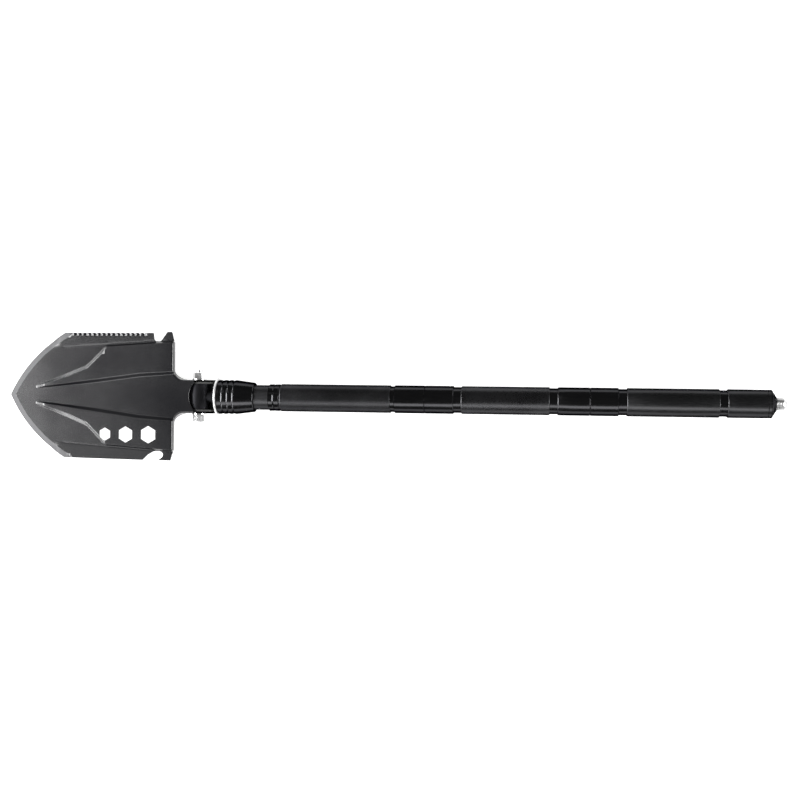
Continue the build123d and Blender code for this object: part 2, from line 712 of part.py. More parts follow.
turned("glass_breaker", [
    (BREAKER_SHANK_X, 0), (BREAKER_SHANK_X, BREAKER_SHANK_R),
    (BREAKER[0], BREAKER_SHANK_R), (BREAKER[0], BREAKER_R), (BREAKER[1], BREAKER_R),
    (BREAKER[2], 0.5), (BREAKER[2], 0),
])
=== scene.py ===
import json
import math

import bpy
import numpy as np
from mathutils import Matrix, Vector
from mathutils.geometry import delaunay_2d_cdt

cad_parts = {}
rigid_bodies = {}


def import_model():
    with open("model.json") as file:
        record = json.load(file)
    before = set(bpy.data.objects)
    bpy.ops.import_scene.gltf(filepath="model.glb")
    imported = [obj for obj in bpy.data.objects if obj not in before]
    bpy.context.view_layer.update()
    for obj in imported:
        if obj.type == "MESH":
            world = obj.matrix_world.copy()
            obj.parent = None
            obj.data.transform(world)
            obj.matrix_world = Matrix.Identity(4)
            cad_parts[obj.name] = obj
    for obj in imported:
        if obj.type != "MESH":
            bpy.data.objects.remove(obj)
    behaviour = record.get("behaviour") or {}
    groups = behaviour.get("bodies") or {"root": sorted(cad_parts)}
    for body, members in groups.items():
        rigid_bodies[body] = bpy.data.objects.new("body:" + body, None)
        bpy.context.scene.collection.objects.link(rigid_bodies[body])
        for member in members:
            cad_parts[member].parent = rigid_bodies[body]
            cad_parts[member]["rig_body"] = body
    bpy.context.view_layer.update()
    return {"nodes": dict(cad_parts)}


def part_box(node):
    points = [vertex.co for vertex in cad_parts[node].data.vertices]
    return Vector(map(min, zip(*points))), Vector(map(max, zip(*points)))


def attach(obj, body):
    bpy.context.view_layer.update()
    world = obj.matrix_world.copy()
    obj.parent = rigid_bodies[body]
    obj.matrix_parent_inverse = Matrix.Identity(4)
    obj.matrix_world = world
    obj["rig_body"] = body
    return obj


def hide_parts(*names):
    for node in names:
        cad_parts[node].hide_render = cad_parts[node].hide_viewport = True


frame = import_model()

MM = 0.001
NODES = frame["nodes"]
scene = bpy.context.scene


def centre(node):
    low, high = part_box(node)
    return (low + high) / 2


# The hinge pivot: all lengths below are millimetres from it, +X to the end cap.
PIVOT = centre("pivot_bush")


def local(node):
    """Box of a node in millimetres from the pivot."""
    low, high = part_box(node)
    return (low - PIVOT) / MM, (high - PIVOT) / MM


# ------------------------------------------------------------------ materials
PATCH_SCALE = 18.0          # broad patches in every finish, per metre


def tree_of(name):
    material = bpy.data.materials.new(name)
    material.use_nodes = True
    nodes = material.node_tree.nodes
    return material, material.node_tree, nodes["Principled BSDF"]


def noise(tree, scale, detail=4.0, stretch=(1.0, 1.0, 1.0), rough=0.6):
    """Noise over the row frame; scale is in features per metre."""
    coords = tree.nodes.new("ShaderNodeTexCoord")
    mapping = tree.nodes.new("ShaderNodeMapping")
    mapping.inputs["Scale"].default_value = stretch
    tree.links.new(coords.outputs["Object"], mapping.inputs["Vector"])
    texture = tree.nodes.new("ShaderNodeTexNoise")
    texture.inputs["Scale"].default_value = scale
    texture.inputs["Detail"].default_value = detail
    texture.inputs["Roughness"].default_value = rough
    tree.links.new(mapping.outputs["Vector"], texture.inputs["Vector"])
    return texture.outputs["Fac"]


def ramp(tree, value, stops):
    node = tree.nodes.new("ShaderNodeValToRGB")
    band = node.color_ramp
    while len(band.elements) < len(stops):
        band.elements.new(0.5)
    for element, (place, colour) in zip(band.elements, stops):
        element.position = place
        element.color = (*colour, 1.0)
    tree.links.new(value, node.inputs["Fac"])
    return node.outputs["Color"]


def span(tree, value, low, high, start=0.3, end=0.7):
    node = tree.nodes.new("ShaderNodeMapRange")
    node.inputs["From Min"].default_value = start
    node.inputs["From Max"].default_value = end
    node.inputs["To Min"].default_value = low
    node.inputs["To Max"].default_value = high
    tree.links.new(value, node.inputs["Value"])
    return node.outputs["Result"]


def bump(tree, value, strength, distance, under=None):
    node = tree.nodes.new("ShaderNodeBump")
    node.inputs["Strength"].default_value = strength
    node.inputs["Distance"].default_value = distance
    tree.links.new(value, node.inputs["Height"])
    if under is not None:
        tree.links.new(under, node.inputs["Normal"])
    return node.outputs["Normal"]


def finish_of(name, dark, light, metallic, rough, grain, bump_mm,
              stretch=(1.0, 1.0, 1.0), specular=0.5, rim=1.0):
    """Coated or plain metal, rubber or plastic with broad patches and fine grain.

    A rim of 0 keeps a dark metal dark where it turns away from the viewer.
    """
    material, tree, shader = tree_of(name)
    broad = noise(tree, PATCH_SCALE, 3.0, stretch)
    fine = noise(tree, grain, 5.0, stretch)
    mixed = tree.nodes.new("ShaderNodeMath")
    mixed.operation = "ADD"
    half_broad = span(tree, broad, 0.0, 0.5)
    half_fine = span(tree, fine, 0.0, 0.5)
    tree.links.new(half_broad, mixed.inputs[0])
    tree.links.new(half_fine, mixed.inputs[1])
    colour = ramp(tree, mixed.outputs["Value"], [(0.15, dark), (0.85, light)])
    tree.links.new(colour, shader.inputs["Base Color"])
    shader.inputs["Metallic"].default_value = metallic
    shader.inputs["Specular IOR Level"].default_value = specular
    tree.links.new(
        span(tree, mixed.outputs["Value"], rough[0], rough[1], 0.2, 0.8),
        shader.inputs["Roughness"],
    )
    tree.links.new(bump(tree, fine, 0.6, bump_mm * MM), shader.inputs["Normal"])
    shader.inputs["Specular Tint"].default_value = (rim, rim, rim, 1.0)
    return material


def grey(level, tint=0.0):
    return (level, level, level + tint)


ALONG = (0.12, 1.0, 1.0)     # grain drawn out along the handle
MATERIALS = {
    "blade": finish_of("blade_coat", grey(0.003, 0.001), grey(0.006, 0.001), 0.0,
                       (0.20, 0.26), 900.0, 0.002, specular=0.62),
    "ground": finish_of("ground_edge", grey(0.020, 0.002), grey(0.034, 0.003), 0.1,
                        (0.30, 0.42), 700.0, 0.01, stretch=(0.4, 0.4, 1.0), specular=0.26),
    "bolt": finish_of("zinc_steel", grey(0.72), grey(0.88), 1.0, (0.18, 0.30), 600.0, 0.02),
    "chrome": finish_of("ring_chrome", grey(0.58), grey(0.68), 0.6, (0.26, 0.36), 500.0, 0.01),
    "hinge": finish_of("hinge_black", grey(0.011, 0.001), grey(0.018, 0.002), 1.0,
                       (0.44, 0.54), 700.0, 0.02, rim=0.0),
    "dull": finish_of("anodised_dull", grey(0.045, 0.002), grey(0.062, 0.003), 1.0,
                      (0.34, 0.42), 1200.0, 0.01, stretch=ALONG, rim=0.0),
    "coarse": finish_of("anodised_coarse", grey(0.032, 0.002), grey(0.060, 0.003), 1.0,
                        (0.28, 0.38), 800.0, 0.01, rim=0.1),
    "gloss": finish_of("anodised_gloss", grey(0.034, 0.002), grey(0.046, 0.002), 1.0,
                       (0.16, 0.24), 500.0, 0.006, stretch=ALONG, rim=0.0),
    "knurl": finish_of("anodised_knurl", grey(0.036, 0.002), grey(0.064, 0.003), 1.0,
                       (0.22, 0.32), 800.0, 0.01, rim=0.1),
    "satin": finish_of("anodised_satin", grey(0.040, 0.002), grey(0.055, 0.002), 1.0,
                       (0.26, 0.36), 1200.0, 0.015, stretch=ALONG, rim=0.0),
    "tool": finish_of("ground_steel", grey(0.45), grey(0.62), 1.0, (0.25, 0.40), 500.0, 0.02,
                      stretch=ALONG),
    "spike": finish_of("silver_steel", grey(0.40), grey(0.56), 1.0, (0.30, 0.42), 700.0, 0.02),
    "ferro": finish_of("ferro_rod", grey(0.10), grey(0.18), 0.8, (0.45, 0.65), 900.0, 0.05),
    "bronze": finish_of("bush_bronze", (0.42, 0.26, 0.10), (0.58, 0.38, 0.16), 1.0,
                        (0.35, 0.50), 600.0, 0.02),
    "rubber": finish_of("seal_rubber", grey(0.012), grey(0.022), 0.0, (0.55, 0.75), 900.0, 0.03),
    "nylon": finish_of("black_nylon", grey(0.015), grey(0.025), 0.0, (0.45, 0.60), 700.0, 0.02),
    "orange": finish_of("holder_nylon", (0.62, 0.16, 0.02), (0.72, 0.22, 0.03), 0.0,
                        (0.40, 0.55), 700.0, 0.03),
}
NODE_MATERIAL = {
    "pivot_washers": "bolt", "hinge_spacers": "nylon", "hinge_block": "hinge",
    "pivot_bush": "bronze", "neck_tube": "dull", "front_ferrule": "gloss",
    "coupling_a": "gloss", "lock_ring": "chrome", "lock_collar": "gloss",
    "coupling_b_front": "gloss", "knife_blade": "tool", "knife_pins": "bolt",
    "o_ring_front": "rubber", "coupling_b_rear": "gloss", "coupling_c_front": "gloss",
    "fire_steel_holder": "orange", "fire_steel_rod": "ferro", "o_ring_rear": "rubber",
    "grip_tube_c": "satin", "cap_socket": "gloss", "end_cap": "satin",
    "glass_breaker": "spike", "o_ring_cap": "rubber", "pivot_bolt": "bolt",
    "pivot_nut": "bolt", "grip_tube_a": "coarse", "grip_tube_b": "knurl",
    "shovel_blade": "blade",
}
for node, key in NODE_MATERIAL.items():
    data = NODES[node].data
    data.materials.clear()
    data.materials.append(MATERIALS[key])


# ------------------------------------------------------------------ mesh helpers
def piece(name, points, faces, node, materials, indices=None, normals=None, sharp=35.0):
    """Mesh from millimetre points about the pivot; rides on the node's body."""
    mesh = bpy.data.meshes.new(name)
    placed = np.asarray(points, float) * MM + np.array(PIVOT)
    mesh.from_pydata(placed.tolist(), [], faces)
    mesh.update()
    for key in materials:
        mesh.materials.append(MATERIALS[key])
    if indices is not None:
        mesh.polygons.foreach_set("material_index", indices)
    mesh.polygons.foreach_set("use_smooth", [True] * len(mesh.polygons))
    if normals is not None:
        mesh.normals_split_custom_set(normals)
    else:
        mesh.set_sharp_from_angle(angle=math.radians(sharp))
    obj = bpy.data.objects.new(name, mesh)
    scene.collection.objects.link(obj)
    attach(obj, NODES[node]["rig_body"])
    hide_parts(node)
    return obj


def lathe(rows, segments, relief=None, closed=True):
    """Points and faces of a profile [(x, r)] turned about the handle axis.

    A closed profile joins its last row to its first; an open one ends in discs.
    """
    count = len(rows)
    points = []
    for index, (x, r) in enumerate(rows):
        for step in range(segments):
            angle = 2 * math.pi * step / segments
            radius = r + (relief(index, x, r, angle) if relief else 0.0)
            points.append((x, radius * math.cos(angle), radius * math.sin(angle)))
    faces = []
    for index in range(count if closed else count - 1):
        after = (index + 1) % count
        for step in range(segments):
            turn = (step + 1) % segments
            faces.append((index * segments + step, index * segments + turn,
                          after * segments + turn, after * segments + step))
    if not closed:
        faces.append(tuple(reversed(range(segments))))
        faces.append(tuple(range((count - 1) * segments, count * segments)))
    return points, faces


def about_bolt(points):
    """The same shape with its axis along +Y instead of +X."""
    return [(z, x, y) for x, y, z in points]


def hexagon_radius(across, angle, corner_up):
    """Radius of a hexagon with a corner, or a flat, facing up at angle zero."""
    sixth = math.pi / 3
    turn = angle if corner_up else angle + sixth / 2
    return across / 2 / math.cos(turn % sixth - sixth / 2)


def saw(value):
    """Triangle wave, 0 at whole numbers and 1 half way between."""
    value = value % 1.0
    return 1.0 - abs(2.0 * value - 1.0)


# ------------------------------------------------------------------ turned handle sections
LEAD = 1.1                  # length of the shallow lead-in on a front edge
LEAD_RISE = 0.5
REAR_ROUND = 0.6            # radius of the round on a rear edge
TUBE_WALL = 1.6
AROUND = 128                # facets round a plain turned piece


def lead_in(x, radius):
    """Front edge of a section: small round, then a shallow cone up to the radius."""
    return [(x, radius - 1.0), (x + 0.12, radius - 0.72), (x + 0.3, radius - LEAD_RISE),
            (x + LEAD, radius)]


def round_edge(x, radius):
    """Rear edge of a section rounded off."""
    return [(x - REAR_ROUND * (1 - math.sin(a)), radius - REAR_ROUND * (1 - math.cos(a)))
            for a in np.linspace(0, math.pi / 2, 5)]


def knurled(node, around, lead, depth, key):
    """Grip tube with diamonds: their number around, length along and depth."""
    low, high = local(node)
    x0, x1, outer = low.x, high.x, high.z
    bore = outer - TUBE_WALL
    length = x1 - x0 - 2 * LEAD
    steps = 4 * max(1, round(length / lead))
    pitch = length / (steps / 4)
    head = [(x0, bore)] + lead_in(x0, outer)
    tail = round_edge(x1, outer) + [(x1, bore)]
    inner = [(x0 + LEAD + length * k / steps, outer) for k in range(1, steps)]
    rows = head + inner + tail
    first, last = len(head), len(head) + len(inner)

    def relief(index, x, r, angle):
        if index < first or index >= last:
            return 0.0
        u = around * angle / (2 * math.pi)
        v = (x - x0 - LEAD) / pitch
        return -depth * (1.0 - min(saw(u + v), saw(u - v)))

    points, faces = lathe(rows, 4 * around, relief)
    piece("knurled_" + node, points, faces, node, [key], sharp=60.0)


knurled("grip_tube_a", 40, 3.8, 0.5, "coarse")
knurled("grip_tube_b", 56, 2.6, 0.34, "knurl")

low, high = local("grip_tube_c")
rows = [(low.x, high.z - TUBE_WALL)] + lead_in(low.x, high.z)
rows += round_edge(high.x, high.z) + [(high.x, high.z - TUBE_WALL)]
points, faces = lathe(rows, AROUND)
piece("plain_tube", points, faces, "grip_tube_c", ["satin"])

# Radii and lengths of the screwed joints, shared by the coupling and the cap.
PLUG_R = 13.7
GROOVE_R = 14.1
SOCKET_R = 9.5
SEAL_SEAT_R = 10.6
SEAL_SEAT = 3.0
STUD_R = 9.45
STUD_NECK_R = 8.3
STUD_NECK = 2.6
STUD = 15.0                 # length of the end cap's stud
PLUG = 15.0                 # length of a coupling inside its tube
GROOVE = 8.6                # open groove between a tube and its rear coupling

low, high = local("coupling_b_rear")
body_x = low.x + PLUG + GROOVE
outer = high.z
rows = [(low.x, SOCKET_R), (low.x, PLUG_R), (low.x + PLUG, PLUG_R), (low.x + PLUG, GROOVE_R),
        (body_x, GROOVE_R)]
rows += lead_in(body_x, outer) + round_edge(high.x, outer)
rows += [(high.x, SEAL_SEAT_R), (high.x - SEAL_SEAT, SEAL_SEAT_R), (high.x - SEAL_SEAT, SOCKET_R)]
points, faces = lathe(rows, AROUND)
piece("rear_coupling", points, faces, "coupling_b_rear", ["gloss"])

CAP_HOLLOW_R = 6.0
CAP_HOLLOW = 35.0
CAP_RINGS = (4.8, 1.4)      # turned rings, measured forward from the cone
RING_HALF = 0.35
RING_DEPTH = 0.45
CONE = 4.6
SPIKE_BORE_R = 4.0
SPIKE_BORE = 16.2
AXIS_R = 0.3                # closed tips stop this far from the axis

low, high = local("end_cap")
cap_x = low.x + STUD
cone_x = high.x - CONE
outer = high.z
rows = [(low.x, CAP_HOLLOW_R), (low.x, STUD_R), (cap_x - STUD_NECK, STUD_R),
        (cap_x - STUD_NECK, STUD_NECK_R), (cap_x, STUD_NECK_R)]
rows += lead_in(cap_x, outer)
for ring in CAP_RINGS:
    ring_x = cone_x - ring
    rows += [(ring_x, outer), (ring_x + RING_HALF, outer - RING_DEPTH),
             (ring_x + 2 * RING_HALF, outer)]
rows += [(cone_x - 0.3, outer), (cone_x, outer - 0.3), (high.x - 0.2, 8.2), (high.x, 8.0),
         (high.x, SPIKE_BORE_R), (high.x - SPIKE_BORE, SPIKE_BORE_R),
         (high.x - SPIKE_BORE, AXIS_R), (low.x + CAP_HOLLOW, AXIS_R),
         (low.x + CAP_HOLLOW - 2.0, CAP_HOLLOW_R)]
points, faces = lathe(rows, AROUND)
piece("ringed_cap", points, faces, "end_cap", ["satin"])


# ------------------------------------------------------------------ hinge hardware
HEX_ACROSS = 13.0
HEX_CORNER = HEX_ACROSS / math.sqrt(3)
BOLT_R = 4.0
BOLT_PITCH = 1.25
THREAD_DEPTH = 0.6
THREAD_STEPS = 8            # rows in one turn of a thread


def chamfer_rows(outer, inner, steps=5):
    """Cone rows from the small face of a nut or head down to its corners."""
    small = HEX_ACROSS / 2 - 0.25
    depth = (HEX_CORNER - small) * math.tan(math.radians(30))
    sign = 1 if inner > outer else -1
    return [(outer + sign * depth * k / steps, small + (HEX_CORNER - small) * k / steps)
            for k in range(steps + 1)]


def thread_rows(start, end, radius, pitch):
    count = round((end - start) / pitch * THREAD_STEPS)
    return [(start + (end - start) * k / count, radius) for k in range(count + 1)]


bolt_low, bolt_high = local("pivot_bolt")
washer_low, washer_high = local("pivot_washers")
nut_high = local("pivot_nut")[1]
head = chamfer_rows(bolt_low.y, washer_low.y) + [(washer_low.y, HEX_CORNER)]
shank = [(washer_low.y, BOLT_R), (washer_high.y, BOLT_R)]
thread = thread_rows(washer_high.y + 0.1, bolt_high.y - 0.7, BOLT_R, BOLT_PITCH)
tail = [(bolt_high.y - 0.6, BOLT_R - 0.5), (bolt_high.y, BOLT_R - 1.1)]
first_thread = len(head) + len(shank)


def bolt_relief(index, x, r, angle):
    if index < len(head):
        return min(r, hexagon_radius(HEX_ACROSS, angle, True)) - r
    if first_thread <= index < first_thread + len(thread):
        return -THREAD_DEPTH * (1.0 - saw(x / BOLT_PITCH - angle / (2 * math.pi)))
    return 0.0


points, faces = lathe(head + shank + thread + tail, 96, bolt_relief, closed=False)
piece("threaded_bolt", about_bolt(points), faces, "pivot_bolt", ["bolt"], sharp=22.0)

rows = [(washer_high.y, BOLT_R + 0.02), (washer_high.y, HEX_CORNER)]
rows += list(reversed(chamfer_rows(nut_high.y, washer_high.y)))
rows += [(nut_high.y - 0.02, BOLT_R + 0.6), (nut_high.y - 0.6, BOLT_R + 0.02)]
points, faces = lathe(
    rows, 96,
    lambda index, x, r, angle: min(r, hexagon_radius(HEX_ACROSS, angle, False)) - r,
)
piece("hexagon_nut", about_bolt(points), faces, "pivot_nut", ["bolt"], sharp=22.0)

# ------------------------------------------------------------------ lock ring
RING_EDGE = 0.9
RING_WIDTH = 2.0
RING_BORE_R = 12.5
RING_HUB_R = 14.2

low, high = local("lock_ring")
ring_r = high.z
ring_rear = low.x + RING_WIDTH
rim = [(low.x + RING_EDGE * (1 - math.cos(a)), ring_r - RING_EDGE * (1 - math.sin(a)))
       for a in np.linspace(0, math.pi / 2, 6)]
rim += [(ring_rear - RING_EDGE * (1 - math.sin(a)), ring_r - RING_EDGE * (1 - math.cos(a)))
        for a in np.linspace(0, math.pi / 2, 6)]
rows = [(low.x, RING_BORE_R)] + rim
rows += [(ring_rear, RING_HUB_R), (high.x, RING_HUB_R), (high.x, RING_BORE_R)]
points, faces = lathe(rows, AROUND)
piece("chrome_ring", points, faces, "lock_ring", ["chrome"], sharp=50.0)

# ------------------------------------------------------------------ glass breaker
SPIKE_THREAD = 7.9          # threaded stretch behind the cap
SPIKE_PITCH = 1.5

low, high = local("glass_breaker")
spike_r = high.z
spike_start = local("end_cap")[1].x
thread_end = spike_start + SPIKE_THREAD
base_rows = [(low.x, SPIKE_BORE_R), (spike_start, SPIKE_BORE_R)]
thread = thread_rows(spike_start, thread_end - 0.8, spike_r, SPIKE_PITCH)
point_rows = [(thread_end, spike_r - 0.5), (high.x - 0.2, 0.9), (high.x, 0.5)]


def spike_relief(index, x, r, angle):
    if len(base_rows) <= index < len(base_rows) + len(thread):
        return -THREAD_DEPTH * (1.0 - saw(x / SPIKE_PITCH - angle / (2 * math.pi)))
    return 0.0


points, faces = lathe(base_rows + thread + point_rows, 96, spike_relief, closed=False)
piece("threaded_spike", points, faces, "glass_breaker", ["spike"], sharp=40.0)

# ------------------------------------------------------------------ broken edges
SOFT_EDGE = {
    "coupling_a": 0.3, "coupling_b_front": 0.3, "coupling_c_front": 0.3,
    "cap_socket": 0.2, "front_ferrule": 0.2, "neck_tube": 0.2, "lock_collar": 0.3,
    "hinge_block": 0.4, "pivot_washers": 0.25,
}
for node, width in SOFT_EDGE.items():
    soft = NODES[node].modifiers.new("broken_edges", "BEVEL")
    soft.width = width * MM
    soft.segments = 2
    soft.limit_method = "ANGLE"
    soft.angle_limit = math.radians(38)
    soft.harden_normals = True

# ------------------------------------------------------------------ blade shape
SHEET = 2.2                 # sheet thickness
TIP_X = -219.1
TIP_MID = (-184.0, 47.5)    # a point half way along the curved edge
CORNER_X = -151.8           # where the point meets the straight sides
SIDE_Y = 70.1
TAB_Y = 71.3
REAR_X = -25.2
WEB_TOP = 15.7
NECK_FLAT_X = -14.0         # the web is level behind this station
NECK_BEND = 34.0
BLADE_SLOPE = 0.06
PAD_RISE = 3.4              # height of the wing panels over the sheet
PAD_START_X = -187.3
PAD_FULL_X = -178.0
FEATHER_START_Y = 10.2
FEATHER_BEND = (-126.4, 34.7)
FEATHER_END = (-106.1, 54.3)
FEATHER_WALL = 5.4
PAD_WALL = 2.2
PAD_LEAST = 1.6             # least width of the top of a panel
CREASE_FRONT = (-158.8, 53.3)
CREASE_REAR = (-25.4, 62.5)
FLANGE_SLOPE = math.tan(math.radians(17))
FLANGE_FADE = 14.0
FLANGE_SOFT = 0.5           # radius that the flange's bend is rounded to
CREASE_DEPTH = 0.30         # pressed line along the foot of each flange
CREASE_HALF = 0.8
TROUGH_X = [-187.3, -156.7, -111.2, -64.5, -25.4]
TROUGH_FOOT = [7.0, 9.7, 13.5, 19.9, 23.7]
TROUGH_TOP = [8.5, 12.9, 20.2, 26.5, 28.1]
EAR_OUT = 18.5
EAR_R = 20.3
EAR_LOW = -16.4
FILLET_R = 11.0
SKIRT = 5.0                 # depth of the folded rear edge
FOLD_R = 2.4
LIP_R = 0.9
WEB_CUT_R = 24.0
WEB_CUT_X = -8.8
WEB_HALF = EAR_OUT - FOLD_R
WEB_END_X = WEB_CUT_X + WEB_CUT_R - math.sqrt(WEB_CUT_R ** 2 - WEB_HALF ** 2)
BEVEL_WIDTH = 6.0
BEVEL_DROP = 1.4
BEVEL_LIMIT_Y = 50.0        # nothing stops the ground edge nearer the centre than this
BEVEL_END = (-154.6, 60.0)  # a point on the slanted line where it stops
BEVEL_END_LEAN = 1.15
BEVEL_REAR_X = CORNER_X + 14.0
SERRATION_START = -141.3
SERRATION_PITCH = 5.64
SERRATION_COUNT = 15
SERRATION_DEPTH = 3.2
SERRATION_SLOPE = 0.95
EDGE_LEFT = 0.25            # sheet left at the bottom of the slanted grinding
HEX_HOLES = [(-104.1, -43.2, 13.0), (-79.8, -43.2, 16.0), (-53.3, -43.0, 17.0)]


def ease(value):
    value = np.clip(value, 0.0, 1.0)
    return value * value * (3.0 - 2.0 * value)


def ramp_up(value):
    """Straight wall from 0 to 1 with its two corners rounded off."""
    value = np.clip(value, 0.0, 1.0)
    corner = 0.15
    slope = 1.0 / (1.0 - corner)
    low = np.minimum(value, corner)
    high = np.maximum(value - (1.0 - corner), 0.0)
    lift = low ** 2 / (2 * corner) + np.clip(value - corner, 0.0, 1.0 - 2 * corner)
    return slope * (lift + high - high ** 2 / (2 * corner))


def circle_through(a, b, c):
    d = 2 * (a[0] * (b[1] - c[1]) + b[0] * (c[1] - a[1]) + c[0] * (a[1] - b[1]))
    sa, sb, sc = (p[0] ** 2 + p[1] ** 2 for p in (a, b, c))
    x = (sa * (b[1] - c[1]) + sb * (c[1] - a[1]) + sc * (a[1] - b[1])) / d
    y = (sa * (c[0] - b[0]) + sb * (a[0] - c[0]) + sc * (b[0] - a[0])) / d
    return x, y, math.hypot(a[0] - x, a[1] - y)


POINT_ARC = circle_through((TIP_X, 0), TIP_MID, (CORNER_X, SIDE_Y))


def floor_z(x):
    past = np.maximum(0.0, NECK_FLAT_X - x)
    bent = np.where(past < NECK_BEND, past ** 2 / (2 * NECK_BEND), past - NECK_BEND / 2)
    return WEB_TOP - BLADE_SLOPE * bent


def crease_y(x):
    share = (x - CREASE_FRONT[0]) / (CREASE_REAR[0] - CREASE_FRONT[0])
    return CREASE_FRONT[1] + (CREASE_REAR[1] - CREASE_FRONT[1]) * share


def pad_edge_y(x):
    feather = np.interp(x, [PAD_START_X, FEATHER_BEND[0], FEATHER_END[0]],
                        [FEATHER_START_Y, FEATHER_BEND[1], FEATHER_END[1]])
    return np.where(x < FEATHER_END[0], feather, crease_y(x) - CREASE_HALF)


def serration_y(x):
    """Where the slanted grinding starts on the face, per station."""
    place = (x - SERRATION_START) / SERRATION_PITCH
    inside = (place > 0) & (place < SERRATION_COUNT)
    reach = SERRATION_DEPTH * (1.0 - np.abs(2.0 * (place % 1.0) - 1.0)) ** 0.8
    return np.where(inside, SIDE_Y - reach, SIDE_Y + 20.0)


def bevel_depth(x, y):
    """Distance inside the ground edge of the point."""
    cx, cy, radius = POINT_ARC
    return radius - np.hypot(x - cx, np.abs(y) - cy)


def bevel_end(x, y):
    """Positive in front of the line where the ground edge stops on the flange."""
    line = (BEVEL_END[0] - x) + (np.abs(y) - BEVEL_END[1]) * BEVEL_END_LEAN
    return np.where(np.abs(y) < BEVEL_LIMIT_Y, 10.0, line)


def on_bevel(x, y):
    return (bevel_end(x, y) > 0) & (x < BEVEL_REAR_X)


def bevel_cut(x, y):
    """How far the ground edge lies below the bare sheet."""
    share = np.clip((BEVEL_WIDTH - bevel_depth(x, y)) / BEVEL_WIDTH, 0.0, 1.2)
    return BEVEL_DROP * share * on_bevel(x, y)


def serration_cut(x, y):
    """How far the slanted grinding of the serrations lies below the bare sheet."""
    return np.clip((y - serration_y(x)) * SERRATION_SLOPE, 0.0, SHEET - EDGE_LEFT)


def wall_width(x, edge, top):
    """Plan width, across the blade, of the outer wall of a wing panel."""
    slanted = np.clip((FEATHER_END[0] + 4 - x) / 8, 0.0, 1.0)
    return np.minimum(PAD_WALL + (FEATHER_WALL - PAD_WALL) * slanted, (edge - top) * 0.5)


def panel_lines(x):
    """Foot and top of the trough's wall, and outer edge and wall of the panel."""
    station = np.maximum(x, PAD_START_X)
    foot = np.interp(station, TROUGH_X, TROUGH_FOOT)
    top = np.interp(station, TROUGH_X, TROUGH_TOP)
    edge = np.maximum(pad_edge_y(station), top + PAD_LEAST)
    return foot, top, edge, wall_width(x, edge, top)


def bare_z(x, y):
    """Upper face of the pressed sheet before any grinding."""
    side = np.abs(y)
    z = floor_z(x)
    rise = PAD_RISE * np.clip((x - PAD_START_X) / (PAD_FULL_X - PAD_START_X), 0.0, 1.0)
    foot, top, edge, wall = panel_lines(x)
    z = z + rise * ease((side - foot) / (top - foot)) * ramp_up((edge - side) / wall)
    fold = FLANGE_SLOPE * ease((x - CREASE_FRONT[0]) / FLANGE_FADE + 1.0)
    past = side - crease_y(x)
    z = z + fold * 0.5 * (past + np.sqrt(past ** 2 + FLANGE_SOFT ** 2) - FLANGE_SOFT * 0.5)
    pressed = ease((x - CREASE_FRONT[0]) / 6.0) * ease((REAR_X - 6.0 - x) / 10.0)
    return z - CREASE_DEPTH * pressed * np.exp(-(past / CREASE_HALF) ** 2)


def top_z(x, y):
    return bare_z(x, y) - bevel_cut(x, y) - serration_cut(x, y)


def arc_points(cx, cy, radius, start, end, count):
    angles = np.linspace(start, end, count)
    return [(cx + radius * math.cos(a), cy + radius * math.sin(a)) for a in angles]


def along(points, step):
    """The polyline with points added so that no gap is longer than step."""
    out = [points[0]]
    for a, b in zip(points, points[1:]):
        count = max(1, math.ceil(math.hypot(b[0] - a[0], b[1] - a[1]) / step))
        out += [(a[0] + (b[0] - a[0]) * k / count, a[1] + (b[1] - a[1]) * k / count)
                for k in range(1, count + 1)]
    return out


def point_edge():
    """Half outline of the point, from the tip to the corner."""
    cx, cy, radius = POINT_ARC
    a0 = math.atan2(0 - cy, TIP_X - cx)
    a1 = math.atan2(SIDE_Y - cy, CORNER_X - cx)
    if a0 < 0:
        a0 += 2 * math.pi
    return arc_points(cx, cy, radius, a0, a1, 60)


